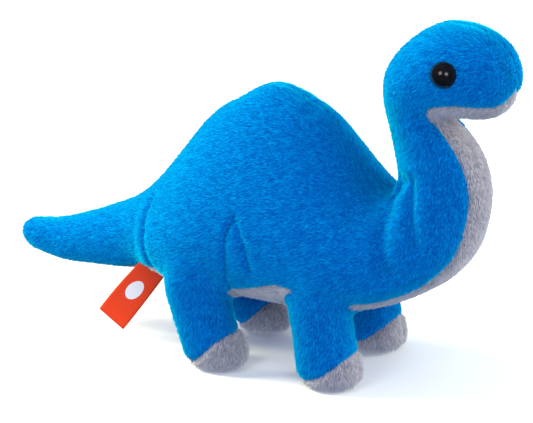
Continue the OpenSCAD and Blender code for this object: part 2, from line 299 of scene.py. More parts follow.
def apply_modifiers(made):
    """Makes an object's modified shape its own mesh."""
    bpy.context.view_layer.update()
    depsgraph = bpy.context.evaluated_depsgraph_get()
    mesh = bpy.data.meshes.new_from_object(made.evaluated_get(depsgraph))
    made.modifiers.clear()
    old, made.data = made.data, mesh
    mesh.name = made.name
    bpy.data.meshes.remove(old)


def modify(made, kind, **settings):
    """Adds a modifier and applies it."""
    modifier = made.modifiers.new(kind.title(), kind)
    for key, value in settings.items():
        setattr(modifier, key, value)
    apply_modifiers(made)


def smooth_faces(made):
    """Shades an object's faces smoothly."""
    made.data.polygons.foreach_set("use_smooth", [True] * len(made.data.polygons))


def get_points(mesh, what="co"):
    """The vertices' places, or another of their directions, as rows."""
    out = np.empty(len(mesh.vertices) * 3, np.float32)
    mesh.vertices.foreach_get(what, out)
    return out.reshape(-1, 3).astype(float)


def set_points(mesh, co):
    """Moves the vertices to the rows' places."""
    mesh.vertices.foreach_set("co", co.astype(np.float32).ravel())
    mesh.update()


def get_edges(mesh):
    """The two vertices of each edge, as rows."""
    out = np.empty(len(mesh.edges) * 2, np.int32)
    mesh.edges.foreach_get("vertices", out)
    return out.reshape(-1, 2)


def raise_low(mesh):
    """Keeps a mesh just above the ground that the toy stands on."""
    co = get_points(mesh)
    co[:, 2] = np.maximum(co[:, 2], GROUND_GAP)
    set_points(mesh, co)


def save_values(mesh, name, values):
    """Keeps a number or a direction for each vertex."""
    flat = values.ndim == 1
    made = mesh.attributes.new(name, "FLOAT" if flat else "FLOAT_VECTOR", "POINT")
    made.data.foreach_set("value" if flat else "vector", values.astype(np.float32).ravel())


def even_out(values, edges, rounds, share=0.5):
    """Evens out values over a mesh's edges. The share may differ from vertex to vertex."""
    flat = np.array(values, float).reshape(len(values), -1)
    share = np.broadcast_to(np.asarray(share, float).reshape(-1, 1), (len(flat), 1))
    count = np.bincount(edges.ravel(), minlength=len(flat))[:, None].clip(1)
    for _ in range(rounds):
        total = np.stack([
            np.bincount(edges[:, 0], flat[edges[:, 1], k], len(flat))
            + np.bincount(edges[:, 1], flat[edges[:, 0], k], len(flat))
            for k in range(flat.shape[1])], 1)
        flat += share * (total / count - flat)
    return flat.reshape(np.shape(values))


def unit(vectors):
    """The rows, each made one long."""
    return vectors / np.linalg.norm(vectors, axis=-1, keepdims=True).clip(1e-9)


def line_distance(points, line):
    """How far points of a plane lie from a line of several stretches."""
    best = np.full(len(points), np.inf)
    for a, b in zip(np.array(line[:-1], float), np.array(line[1:], float)):
        along = ((points - a) @ (b - a) / ((b - a) @ (b - a))).clip(0, 1)[:, None]
        best = np.minimum(best, np.linalg.norm(points - a - along * (b - a), axis=1))
    return best


# ---------------------------------------------------------------- the stuffed form


def body_gap(points):
    """How far points stand out of the body's loft, in mm."""
    gap = np.empty(len(points))
    for i, point in enumerate(points):
        place, normal, _, _ = FORM["body_tree"].find_nearest(point)
        gap[i] = (Vector(point) - place).dot(normal) / MM
    return gap


def measure_form(mesh):
    """Where each vertex of the form lies on the pattern. Lengths are in mm."""
    co, edges = get_points(mesh), get_edges(mesh)
    # Sample points a twentieth of a rib and 2.5 degrees apart
    places, angles = np.meshgrid(np.arange(0, SNOUT + 0.01, 0.05), np.radians(np.arange(0, 360, 2.5)),
                                 indexing="ij")
    samples = skin(places, angles, FORM["inset"]).reshape(-1, 3)
    tree = kdtree.KDTree(len(samples))
    for i, point in enumerate(samples):
        tree.insert(point, i)
    tree.balance()
    near = np.array([tree.find(point)[1] for point in co])
    t = even_out(places.ravel()[near], edges, 4)
    turn = angles.ravel()[near]
    turn = np.arctan2(*even_out(np.stack([np.sin(turn), np.cos(turn)], 1), edges, 4).T)
    r = rib(t)
    radius = (np.hypot(r[:, 0] - r[:, 2], r[:, 1] - r[:, 3]) / 2 + r[:, 4]) / 2
    x, y, z = (co / MM).T
    found = {"t": t, "angle": turn, "gap": even_out(body_gap(co), edges, 2)}
    found["gusset"] = (np.abs(turn) - pi + np.radians(r[:, 6])) * radius
    for name, (_, _, start, end) in BENDS.items():
        away = Vector(end) - Vector(start)
        found[name] = (co / MM - np.array(start)) @ np.array(away.normalized())
    found["neck"][t < NECK_FROM] = -FAR
    found["head"][t < HEAD_FROM] = -FAR
    found["leg"] = np.minimum(found["gap"] - LEG_CLEAR, LEG_TOP - z)
    front = x > (HIPS["front_right"].x + HIPS["rear_right"].x) / 2
    lean = np.interp(z, *np.transpose(LEG_RINGS)[:2])
    middle = np.where(front, HIPS["front_right"].x + lean * reach("front_right"),
                      HIPS["rear_right"].x + lean * reach("rear_right"))
    outward = np.abs(y) - abs(HIPS["front_right"].y)
    around = np.arctan2(outward, x - middle)
    size = np.hypot(outward, x - middle)
    found["outer"] = np.minimum(around - OUTER_PANEL[0], OUTER_PANEL[1] - around) * size
    seams = [np.interp(x - HIPS[row + "_right"].x - reach(row + "_right"), *np.transpose(CAP_SEAMS[row]))
             for row in ("front", "rear")]
    found["cap"] = even_out(np.where(front, *seams) - z, edges, 2)
    found["sole"] = SOLE_HEIGHT - z
    found["toe_middle"] = np.where(x > middle, outward, FAR)
    return found


def groove(distance, depth, half_width):
    """A soft hollow's depth at a distance from its middle."""
    return depth * np.exp(-(distance / half_width) ** 2)


def groove_on_back(found, hollow):
    """A hollow on the back line: its place, depth, half length and half width."""
    place, depth, half_length, half_width = hollow
    return groove(found["t"] - place, depth, half_length) * groove(found["angle"], 1.0, half_width)


def on_back(found):
    """Whether each vertex is near the back seam's stretch."""
    along = (found["t"] > BACK_SEAM_FROM) & (found["t"] < BACK_SEAM_TO)
    return along & (np.abs(found["angle"]) < 1)


def sew_grooves(form, found, settings):
    """Pulls the cloth in at its seams and creases."""
    mesh = form.data
    co, normal = get_points(mesh), get_points(mesh, "normal")
    width, depth = settings.seam_width / MM, settings.seam_depth / MM
    on_leg = found["leg"] > 0
    body = ~on_leg & (found["t"] > 0.6)
    back = body & on_back(found)
    toe = on_leg & (found["cap"] > 0) & (found["sole"] < 0)
    sink = groove_on_back(found, NECK_HOLLOW)
    for kind, where, distance, wide in (
            ("gusset", body, found["gusset"], width),
            ("leg_side", on_leg & (found["cap"] < 3), found["outer"], width),
            ("cap", on_leg, found["cap"], width),
            ("toe", toe, found["toe_middle"], width),
            ("back", back, co[:, 1] / MM, width),
            ("leg_top", found["gap"] > 0, found["leg"], width * 1.5)):
        sink = np.maximum(sink, np.where(where, groove(distance, depth * SEAM_SHARES[kind], wide), 0))
    # The creases lie on the toy's flanks, off its back and belly
    flank = (np.abs(normal[:, 1]) > 0.15) & (np.abs(co[:, 1]) > 7 * MM)
    for line, crease_depth, half_width in CREASES:
        away = line_distance(co[:, [0, 2]] / MM, line)
        sink = np.maximum(sink, np.where(flank, groove(away, crease_depth, half_width), 0))
    for sign in SIDES.values():
        eye = skin(EYE_PLACE, sign * EYE_ANGLE)
        sink = np.maximum(sink, groove(np.linalg.norm(co - eye, axis=1) / MM, *EYE_DIMPLE))
    sink -= groove_on_back(found, HUMP_PEAK)
    sink = even_out(sink, get_edges(mesh), 1)
    set_points(mesh, co - normal * sink[:, None] * MM)


# The cloth is filled at ten times its size, where the solver works well, for this many frames, with
# the soles held below this height
SWELL_SCALE, SWELL_FRAMES, HELD_BELOW = 10.0, 20, 2.2 * MM


def swell(form, settings):
    """Fills the cloth form with pressure, as its stuffing does, and keeps each point near its place."""
    start = get_points(form.data)
    set_points(form.data, start * SWELL_SCALE)
    held = form.vertex_groups.new(name="held")
    held.add(np.flatnonzero(start[:, 2] < HELD_BELOW).tolist(), 1.0, "REPLACE")
    cloth = form.modifiers.new("Cloth", "CLOTH")
    cloth.settings.quality = 4
    cloth.settings.mass = 0.3
    cloth.settings.use_pressure = True
    cloth.settings.uniform_pressure_force = 4
    cloth.settings.vertex_group_mass = "held"
    cloth.settings.effector_weights.gravity = 0
    for frame_number in range(1, SWELL_FRAMES + 1):
        bpy.context.scene.frame_set(frame_number)
    apply_modifiers(form)
    bpy.context.scene.frame_set(1)
    moved = get_points(form.data) / SWELL_SCALE - start
    far = np.linalg.norm(moved, axis=1, keepdims=True)
    moved *= np.minimum(1, settings.swell_limit / far.clip(1e-9))
    set_points(form.data, start + moved)
    form.vertex_groups.clear()


def lay_nap(mesh, found):
    """Keeps the way the pile lies and how thick it stands, for each vertex."""
    co, normal, edges = get_points(mesh), get_points(mesh, "normal"), get_edges(mesh)
    r = rib(found["t"])
    back = np.stack([r[:, 3] - r[:, 1], np.zeros(len(r)), r[:, 0] - r[:, 2]], 1)
    back = unit(back) - np.array((0, 0, NAP_DROOP))
    on_leg = even_out((found["leg"] > 0).astype(float), edges, 6)[:, None]
    nap = back * (1 - on_leg) + np.array(LEG_NAP) * on_leg
    nap -= normal * (nap * normal).sum(1, keepdims=True)
    nap = unit(even_out(unit(nap), edges, 6))
    # The pile is thinner along the seams, within half a millimetre of the stitches
    thin = 0.5
    cover = np.ones(len(co))
    for line, _, _ in CREASES[:DARTS]:
        cover -= groove(line_distance(co[:, [0, 2]] / MM, line), 0.7, thin)
    body = (found["leg"] < 0) & (found["t"] > 1)
    cover -= np.where(body, groove(found["gusset"], 0.5, thin), groove(found["cap"], 0.5, thin))
    cover -= np.where(body & on_back(found), groove(co[:, 1] / MM, 0.6, thin), 0)
    cover = cover.clip(0, 1)
    # The soles and the lowest 0.3 mm above their seam have no pile
    cover[found["sole"] > -0.3] = 0
    for sign in SIDES.values():
        eye = skin(EYE_PLACE, sign * EYE_ANGLE)
        away = np.linalg.norm(co - eye, axis=1) / MM
        cover *= np.clip((away - EYE_CLEARING[0]) / EYE_CLEARING[1], 0, 1)
    save_values(mesh, "nap", nap)
    save_values(mesh, "cover", cover)


# The distances that the form is cut along, each from a seam or from a bend's start
FIELDS = ("tail", "neck", "head", "leg", "gusset", "sole", "cap", "outer")
# A cut this near an edge's end, as a part of the edge, goes through the end itself
SNAP = 0.12


def cut_along(bm, layer, layers, wanted):
    """Splits the faces where a field passes zero, and keeps the cut's vertices at zero."""
    cut = []
    for edge in list(bm.edges):
        a, b = edge.verts
        if not (wanted(a) or wanted(b)):
            continue
        fa, fb = a[layer], b[layer]
        if fa * fb < 0:
            part = fa / (fa - fb)
            if min(part, 1 - part) < SNAP:
                near = a if part < 0.5 else b
                near[layer] = 0.0
                continue
            _, vertex = bmesh.utils.edge_split(edge, a, part)
            for other in layers:
                vertex[other] = a[other] + (b[other] - a[other]) * part
            vertex[layer] = 0.0
            cut.append(vertex)
    faces = each_once(f for v in cut for f in v.link_faces)
    zero = each_once(v for f in faces for v in f.verts if v[layer] == 0.0)
    bmesh.ops.connect_verts(bm, verts=zero)


# How far past a leg's or a toe cap's seam the other cuts still run, in mm
NEAR, NEAR_CAP = 0.5, 0.8
# The name of the grey cloth's piece under each part of the body
GUSSETS = {"head": "chin_gusset", "neck": "neck_gusset", "tail": "tail_gusset", "trunk": "belly_gusset"}


def label_faces(form, found):
    """Cuts the form's mesh along its seams and gives each face the name of its panel."""
    bm = bmesh.new()
    bm.from_mesh(form.data)
    layers = {name: bm.verts.layers.float.new(name) for name in FIELDS}
    for name, layer in layers.items():
        values = found[name]
        for v in bm.verts:
            v[layer] = values[v.index]
    leg, cap = layers["leg"], layers["cap"]

    def anywhere(v):
        return True

    def off_leg(v):
        return v[leg] < NEAR

    def on_leg(v):
        return v[leg] > -NEAR

    def in_shank(v):
        return on_leg(v) and v[cap] < NEAR_CAP

    def in_cap(v):
        return on_leg(v) and v[cap] > -NEAR_CAP

    for name, wanted in (("leg", anywhere), ("tail", off_leg), ("neck", off_leg), ("head", off_leg),
                         ("gusset", off_leg), ("cap", on_leg), ("sole", in_cap), ("outer", in_shank)):
        cut_along(bm, layers[name], list(layers.values()), wanted)
    panels = {}
    front_split = (HIPS["front_right"].x + HIPS["rear_right"].x) / 2 * MM
    for face in bm.faces:
        mean = {k: sum(v[x] for v in face.verts) / len(face.verts) for k, x in layers.items()}
        middle = face.calc_center_median()
        side = "left" if middle.y > 0 else "right"
        if mean["leg"] > 0:
            name = ("front_" if middle.x > front_split else "rear_") + side
            if mean["sole"] > 0:
                name += "_sole"
            elif mean["cap"] > 0:
                name += "_toe_cap"
            else:
                name += "_leg_outer_panel" if mean["outer"] > 0 else "_leg_inner_panel"
        else:
            part = next((part for part in ("head", "neck", "tail") if mean[part] > 0), "trunk")
            name = GUSSETS[part] if mean["gusset"] > 0 else f"{part}_panel_{side}"
        panels.setdefault(name, []).append(face.index)
    bm.faces.index_update()
    return bm, panels


def bodies_of(panel):
    """What a panel moves with: a body's name, or the bend it crosses."""
    for leg in LEGS:
        if panel.startswith(leg):
            low, high = LEG_BEND
            start = Vector((HIPS[leg].x, HIPS[leg].y, low))
            end = Vector((HIPS[leg].x, HIPS[leg].y, high))
            return "trunk", leg + "_leg", start, end
    # The chin's gusset moves with the head, and what has no bend is on the trunk
    part = panel.split("_")[0]
    return BENDS.get("head" if part == "chin" else part)


def hang(made, panel, *replaced, slot):
    """Says which bodies a piece of the panel moves with and what it stands for."""
    bend = bodies_of(panel)
    if bend:
        parent, child, start, end = bend
        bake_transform(made, parent, child, start=metres(start), end=metres(end))
    else:
        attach(made, "trunk")
    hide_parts(*replaced)


def slot_of(node):
    """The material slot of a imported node."""
    rows = frame["record"]["subparts"]
    return next(r["material_slot"] for r in rows if r["node"] == node)


# ---------------------------------------------------------------- materials


def add_node(tree, kind, settings=None, links=None):
    """Adds a node, with its settings by name and its inputs linked from other nodes' sockets."""
    made = tree.nodes.new(kind)
    for name, value in (settings or {}).items():
        if isinstance(name, int) or name in made.inputs:
            made.inputs[name].default_value = value
        else:
            setattr(made, name, value)
    for name, source in (links or {}).items():
        tree.links.new(source, made.inputs[name])
    return made


def new_material(name, **settings):
    """A material, its node tree and its shader, with the shader's settings."""
    made = bpy.data.materials.new(name)
    made.use_nodes = True
    tree = made.node_tree
    shader = tree.nodes["Principled BSDF"]
    for key, value in settings.items():
        shader.inputs[key.replace("_", " ")].default_value = value
    return made, tree, shader


def ramp_colours(tree, source, stops):
    """A colour ramp through (place, linear colour) stops."""
    made = add_node(tree, "ShaderNodeValToRGB", links={"Fac": source})
    elements = made.color_ramp.elements
    while len(elements) < len(stops):
        elements.new(0.5)
    for element, (place, colour) in zip(elements, stops):
        element.position = place
        element.color = (*colour, 1)
    return made.outputs["Color"]


def plush_backing(name, dark, light, sheen):
    """Knitted polyester plush: a matt knitted ground whose loops show between the tufts."""
    made, tree, shader = new_material(name, Roughness=0.95, Specular_IOR_Level=0.03,
                                      Sheen_Weight=0.35, Sheen_Roughness=0.5,
                                      Sheen_Tint=(*linear(sheen), 1))
    place = add_node(tree, "ShaderNodeTexCoord").outputs["Object"]
    # Loops of the knit stand about 0.9 mm apart
    loops = add_node(tree, "ShaderNodeTexVoronoi", {"Scale": 1100.0}, {"Vector": place})
    patches = add_node(tree, "ShaderNodeTexNoise", {"Scale": 160.0, "Detail": 4.0}, {"Vector": place})
    # The ground is darker where the loops' bump is low: painted shade in the knit's hollows, under random patches
    # of tone
    mix = add_node(tree, "ShaderNodeMath", {"operation": "MULTIPLY"},
                   {0: loops.outputs["Distance"], 1: patches.outputs["Fac"]})
    colour = ramp_colours(tree, mix.outputs[0], [(0.05, linear(dark)), (0.5, linear(light))])
    tree.links.new(colour, shader.inputs["Base Color"])
    bump = add_node(tree, "ShaderNodeBump", {"Strength": 0.6, "Distance": 0.0003},
                    {"Height": loops.outputs["Distance"]})
    tree.links.new(bump.outputs["Normal"], shader.inputs["Normal"])
    return made


def pile_fibre(name, colour, sheen):
    """Dyed polyester pile: one shade of fibre, soft and matt with a pale sheen along its edge."""
    made, _, _ = new_material(name, Base_Color=(*linear(colour), 1), Roughness=0.85,
                              Specular_IOR_Level=0.02, Sheen_Weight=0.7, Sheen_Roughness=0.55,
                              Sheen_Tint=(*linear(sheen), 1))
    return made


BLUE_SHADES = ("#004fa8", "#0060b6", "#006fc1", "#0081cc")
GREY_SHADES = ("#85828c", "#938f99", "#a19da6", "#afacb4")
# How far a tuft is shaded like the ground that it grows from, which makes the pile look soft
SOFTNESS = 0.55
# A tuft has three sides and a root, and its shade spreads over this many of the four shades
TUFT_FACES, SHADE_SPREAD = 4, 3.0


def plush_materials(slot):
    """The ground and the pile's shades for a plush slot, made once."""
    if slot not in FORM:
        blue = slot == "blue_plush"
        shades = BLUE_SHADES if blue else GREY_SHADES
        sheen = "#00e0f0" if blue else "#f0eef8"
        # The ground's colours are darker than the pile's shades: partly its own dye, partly painted shade that
        # makes the seams, where the pile is thinned, look dark
        ground = plush_backing(slot + "_knitted_ground", *(
            ("#003c8a", "#005cb0") if blue else ("#625f6a", "#8d8996")), sheen)
        FORM[slot] = ground, [pile_fibre(f"{slot}_pile_shade_{i + 1}", c, sheen)
                              for i, c in enumerate(shades)]
    return FORM[slot]


# ---------------------------------------------------------------- settings


class DinosaurForm(bpy.types.PropertyGroup):
    """How the cloth is sewn and filled"""

    inset: FloatProperty(name="Skin depth", default=0.85 * MM, min=0, max=2 * MM, unit="LENGTH",
                         description="How far the cloth's ground lies under the pile's surface")
    voxel: FloatProperty(name="Mesh size", default=1.4 * MM, min=1 * MM, max=4 * MM, unit="LENGTH",
                         description="The size of the form's faces before they are subdivided")
    swell_limit: FloatProperty(name="Swell limit", default=0.9 * MM, min=0, max=3 * MM, unit="LENGTH",
                               description="How far the filling may push the cloth")
    seam_depth: FloatProperty(name="Seam depth", default=0.9 * MM, min=0, max=3 * MM, unit="LENGTH",
                              description="How far a seam pulls the cloth in")
    seam_width: FloatProperty(name="Seam half width", default=1.1 * MM, min=0.3 * MM, max=4 * MM,
                              unit="LENGTH", description="Half the width of a seam's hollow")
    cloth: FloatProperty(name="Cloth", default=0.8 * MM, min=0.2 * MM, max=1.2 * MM, unit="LENGTH",
                         description="The thickness of the knitted ground")


class DinosaurPile(bpy.types.PropertyGroup):
    """How the pile stands"""

    length: FloatProperty(name="Length", default=1.3 * MM, min=0.5 * MM, max=5 * MM, unit="LENGTH",
                          description="How long a tuft is")
    width: FloatProperty(name="Width", default=0.2 * MM, min=0.1 * MM, max=1 * MM, unit="LENGTH",
                         description="A tuft's radius at its root")
    density: FloatProperty(name="Density", default=8.0, min=0.5, max=12,
                           description="Tufts on each square millimetre")
    lean: FloatProperty(name="Lean", default=radians(68), min=0, max=radians(85), subtype="ANGLE",
                        description="How far a tuft leans over from straight up")
    seed: IntProperty(name="Seed", default=3, min=0, description="The start of the random numbers")


class DinosaurParts(bpy.types.PropertyGroup):
    """The eyes, the tag and the stage"""

    eye: FloatProperty(name="Eye", default=8 * MM, min=5 * MM, max=12 * MM, unit="LENGTH",
                       description="An eye's diameter")
    tag_colour: FloatVectorProperty(name="Tag", subtype="COLOR", size=3, min=0, max=1,
                                    default=linear("#ff420f"), description="The ribbon's colour")
    floor_colour: FloatVectorProperty(name="Floor", subtype="COLOR", size=3, min=0, max=1,
                                      default=linear("#f7f7f8"), description="The floor's colour")


# ---------------------------------------------------------------- the pieces

# Five rings for each rib of the body's loft
FORM_RINGS = 5 * SNOUT + 1
# The crotches are rounded within this distance of the body and below this height, in mm
CROTCH_WIDTH, CROTCH_BELOW = 2.5, 34


class DINO_OT_form(bpy.types.Operator):
    """Makes the stuffed outer form that the panels are cut from"""

    bl_idname = "dino.form"
    bl_label = "Stuffed form"

    def execute(self, context):
        settings = context.scene.dinosaur_form
        inset = FORM["inset"] = settings.inset / MM
        bm = bmesh.new()
        add_body(bm, 0, SNOUT, FORM_RINGS, inset)
        FORM["body_tree"] = BVHTree.FromBMesh(bm)
        for leg in LEGS:
            add_leg(bm, leg, LEG_RINGS, inset)
        form = new_object("form", bm)
        modify(form, "REMESH", mode="VOXEL", voxel_size=settings.voxel)
        mesh = form.data
        edges = get_edges(mesh)
        # The whole form loses the voxels' steps, and then its crotches alone are rounded
        co = even_out(get_points(mesh), edges, 3, 0.4)
        gap = body_gap(co)
        low = co[:, 2] < CROTCH_BELOW * MM
        crotch = groove(gap, 1.0, CROTCH_WIDTH) * low * (np.abs(gap) > 0.15)
        crotch = even_out(crotch, edges, 3)
        set_points(mesh, even_out(co, edges, 8, crotch * 0.6))
        swell(form, settings)
        modify(form, "SUBSURF", levels=1, render_levels=1)
        found = measure_form(form.data)
        sew_grooves(form, found, settings)
        lay_nap(form.data, found)
        FORM["bm"], FORM["panels"] = label_faces(form, found)
        bpy.data.objects.remove(form)
        return {"FINISHED"}


class DINO_OT_panels(bpy.types.Operator):
    """Cuts the cloth panels from the form and gives them their thickness"""

    bl_idname = "dino.panels"
    bl_label = "Cloth panels"

    def execute(self, context):
        settings = context.scene.dinosaur_form
        whole = bpy.data.meshes.new("form")
        FORM["bm"].to_mesh(whole)
        for panel, faces in FORM["panels"].items():
            bm = bmesh.new()
            bm.from_mesh(whole)
            keep = set(faces)
            bmesh.ops.delete(bm, geom=[f for f in bm.faces if f.index not in keep], context="FACES")
            for name in FIELDS:
                bm.verts.layers.float.remove(bm.verts.layers.float[name])
            made = new_object(panel + "_plush", bm)
            smooth_faces(made)
            FORM.setdefault("bare", {})[panel] = made.data.copy()
            modify(made, "SOLIDIFY", thickness=settings.cloth, offset=-1, use_even_offset=False)
            raise_low(made.data)
            made.data.materials.append(plush_materials(slot_of(panel))[0])
            hang(made, panel, panel, slot=slot_of(panel))
        bpy.data.meshes.remove(whole)
        FORM["bm"].free()
        return {"FINISHED"}


# How far a filling lies under the cloth's ground, in mm, and the places along the spine where each
# filling of the body starts and ends, with its rings
FILLING_DEPTH = 4.2
FILLINGS = {"tail": (1.5, 5.4, 22), "trunk": (5.7, 15.2, 50), "neck": (15.6, 18.2, 14),
            "head": (18.7, SNOUT - 1.7, 34)}


class DINO_OT_fillings(bpy.types.Operator):
    """Makes the loose fibre filling inside each part"""

    bl_idname = "dino.fillings"
    bl_label = "Fillings"

    def execute(self, context):
        inset = context.scene.dinosaur_form.inset / MM + FILLING_DEPTH
        material, tree, shader = new_material("loose_polyester_fibre", Roughness=0.9,
                                              Sheen_Weight=0.3, Specular_IOR_Level=0.2)
        place = add_node(tree, "ShaderNodeTexCoord").outputs["Object"]
        # Crimped fibres gather in clumps about 5 mm across
        clumps = add_node(tree, "ShaderNodeTexNoise", {"Scale": 200.0, "Detail": 8.0,
                                                       "Distortion": 1.5}, {"Vector": place})
        colour = ramp_colours(tree, clumps.outputs["Fac"],
                              [(0.3, linear("#d8d6cf")), (0.7, linear("#f6f4ee"))])
        tree.links.new(colour, shader.inputs["Base Color"])
        for part, (first, last, count) in FILLINGS.items():
            bm = bmesh.new()
            add_body(bm, first, last, count, inset)
            self.finish(bm, part, part + "_stuffing", material)
        for leg in LEGS:
            bm = bmesh.new()
            rings = [(max(h, inset), lean, a, b) for h, lean, a, b in LEG_RINGS[2:8]]
            add_leg(bm, leg, rings, inset)
            self.finish(bm, leg, leg + "_leg_stuffing", material)
        return {"FINISHED"}

    def finish(self, bm, part, node, material):
        """Makes one filling a finished piece."""
        made = new_object(node + "_fibre", bm)
        made.data.materials.append(material)
        smooth_faces(made)
        hang(made, part, node, slot="stuffing")


def tuft_object(settings):
    """One tuft of pile: a slim pointed lock of fibres."""
    bm = bmesh.new()
    bmesh.ops.create_cone(bm, cap_ends=True, segments=3, radius1=settings.width, radius2=0,
                          depth=settings.length)
    bmesh.ops.translate(bm, verts=bm.verts, vec=(0, 0, settings.length / 2))
    bmesh.ops.scale(bm, verts=bm.verts, vec=(1.0, 0.7, 1.0))
    return new_object("tuft", bm)


# How far a tuft's direction strays from its neighbours', and its least and greatest size
STRAY, TUFT_SIZES = 0.28, (0.7, 1.2)


def scatter_tree(tuft, settings):
    """The node tree that plants the tuft over a panel, leaning along its nap."""
    tree = bpy.data.node_groups.new("plant_pile", "GeometryNodeTree")
    tree.interface.new_socket("Geometry", in_out="INPUT", socket_type="NodeSocketGeometry")
    tree.interface.new_socket("Geometry", in_out="OUTPUT", socket_type="NodeSocketGeometry")
    group_in = add_node(tree, "NodeGroupInput")
    nap = add_node(tree, "GeometryNodeInputNamedAttribute", {"data_type": "FLOAT_VECTOR", "Name": "nap"})
    cover = add_node(tree, "GeometryNodeInputNamedAttribute", {"data_type": "FLOAT", "Name": "cover"})
    density = add_node(tree, "ShaderNodeMath", {"operation": "MULTIPLY", 1: settings.density / MM ** 2},
                       {0: cover.outputs["Attribute"]})
    plant = add_node(tree, "GeometryNodeDistributePointsOnFaces", {"Seed": settings.seed},
                     {"Mesh": group_in.outputs[0], "Density": density.outputs[0]})
    lean = add_node(tree, "ShaderNodeVectorMath", {"operation": "SCALE", "Scale": sin(settings.lean)},
                    {0: nap.outputs["Attribute"]})
    upright = add_node(tree, "ShaderNodeVectorMath", {"operation": "SCALE", "Scale": cos(settings.lean)},
                       {0: plant.outputs["Normal"]})
    stray = add_node(tree, "FunctionNodeRandomValue",
                     {"data_type": "FLOAT_VECTOR", "Seed": 5, "Min": (-STRAY,) * 3, "Max": (STRAY,) * 3})
    first = add_node(tree, "ShaderNodeVectorMath", {"operation": "ADD"},
                     {0: lean.outputs[0], 1: upright.outputs[0]})
    aim = add_node(tree, "ShaderNodeVectorMath", {"operation": "ADD"},
                   {0: first.outputs[0], 1: stray.outputs["Value"]})
    turned = add_node(tree, "FunctionNodeAlignRotationToVector", {"axis": "Z"},
                      {"Vector": aim.outputs[0]})
    roll = add_node(tree, "FunctionNodeRandomValue", {"data_type": "FLOAT", "Seed": 9})
    roll.inputs[3].default_value = 2 * pi
    axis = add_node(tree, "FunctionNodeAxisAngleToRotation", {"Axis": (0, 0, 1)},
                    {"Angle": roll.outputs[1]})
    rolled = add_node(tree, "FunctionNodeRotateRotation", {"rotation_space": "LOCAL"},
                      {"Rotation": turned.outputs[0], "Rotate By": axis.outputs[0]})
    size = add_node(tree, "FunctionNodeRandomValue", {"data_type": "FLOAT", "Seed": 13})
    size.inputs[2].default_value, size.inputs[3].default_value = TUFT_SIZES
    source = add_node(tree, "GeometryNodeObjectInfo", {"Object": tuft})
    rooted = add_node(tree, "GeometryNodeStoreNamedAttribute", {"data_type": "FLOAT_VECTOR",
                      "Name": "ground"}, {"Geometry": plant.outputs["Points"],
                                          "Value": plant.outputs["Normal"]})
    planted = add_node(tree, "GeometryNodeInstanceOnPoints", links={
        "Points": rooted.outputs[0], "Instance": source.outputs["Geometry"],
        "Rotation": rolled.outputs[0], "Scale": size.outputs[1]})
    real = add_node(tree, "GeometryNodeRealizeInstances", links={"Geometry": planted.outputs[0]})
    add_node(tree, "NodeGroupOutput", links={"Geometry": real.outputs[0]})
    return tree


class DINO_OT_pile(bpy.types.Operator):
    """Plants the pile's tufts on each panel"""

    bl_idname = "dino.pile"
    bl_label = "Pile"

    def execute(self, context):
        settings = context.scene.dinosaur_pile
        tuft = tuft_object(settings)
        tree = scatter_tree(tuft, settings)
        random = np.random.RandomState(settings.seed)
        for panel, mesh in FORM["bare"].items():
            if panel.endswith("_sole"):
                continue
            made = bpy.data.objects.new(panel + "_pile", mesh)
            context.scene.collection.objects.link(made)
            modifier = made.modifiers.new("Pile", "NODES")
            modifier.node_group = tree
            apply_modifiers(made)
            total = len(made.data.polygons) // TUFT_FACES
            centre = get_points(made.data)[::len(made.data.vertices) // total][:total] / MM
            # Neighbouring tufts share a little of their shade, in waves a few millimetres long
            wave = np.sin(centre @ (0.9, 1.3, 0.5)) + np.sin(centre @ (-0.6, 0.8, 1.4) + 1)
            shade = random.rand(total) * SHADE_SPREAD + 0.15 * wave + 0.5
            shades = plush_materials(slot_of(panel))[1]
            made.data.materials.clear()
            for material in shades:
                made.data.materials.append(material)
            index = np.clip(shade, 0, len(shades) - 0.01).astype(np.int32)
            made.data.polygons.foreach_set("material_index", np.repeat(index, TUFT_FACES))
            smooth_faces(made)
            # Each tuft's normals turn towards the normal of the ground under it
            ground = np.empty(len(made.data.vertices) * 3, np.float32)
            made.data.attributes["ground"].data.foreach_get("vector", ground)
            soft = ground.reshape(-1, 3) * SOFTNESS + get_points(made.data, "normal") * (1 - SOFTNESS)
            made.data.normals_split_custom_set_from_vertices(unit(soft).tolist())
            raise_low(made.data)
            for attribute in ("nap", "cover", "ground"):
                if attribute in made.data.attributes:
                    made.data.attributes.remove(made.data.attributes[attribute])
            hang(made, panel, slot=slot_of(panel))
        bpy.data.objects.remove(tuft)
        bpy.data.node_groups.remove(tree)
        return {"FINISHED"}


# The eye's outline from its crown to its shank, as radius and height in parts of its radius
EYE_OUTLINE = (
    (0.0, 0.74), (0.16, 0.73), (0.33, 0.69), (0.5, 0.62), (0.65, 0.52), (0.78, 0.39), (0.87, 0.25),
    (0.93, 0.14), (0.97, 0.06), (1.0, 0.0), (0.99, -0.04), (0.93, -0.07), (0.4, -0.08),
    (0.33, -0.12), (0.31, -0.2), (0.31, -1.3), (0.27, -1.42), (0.0, -1.46),
)


# How far an eye's rim is sunk in the pile, in mm
EYE_SEAT = 0.9


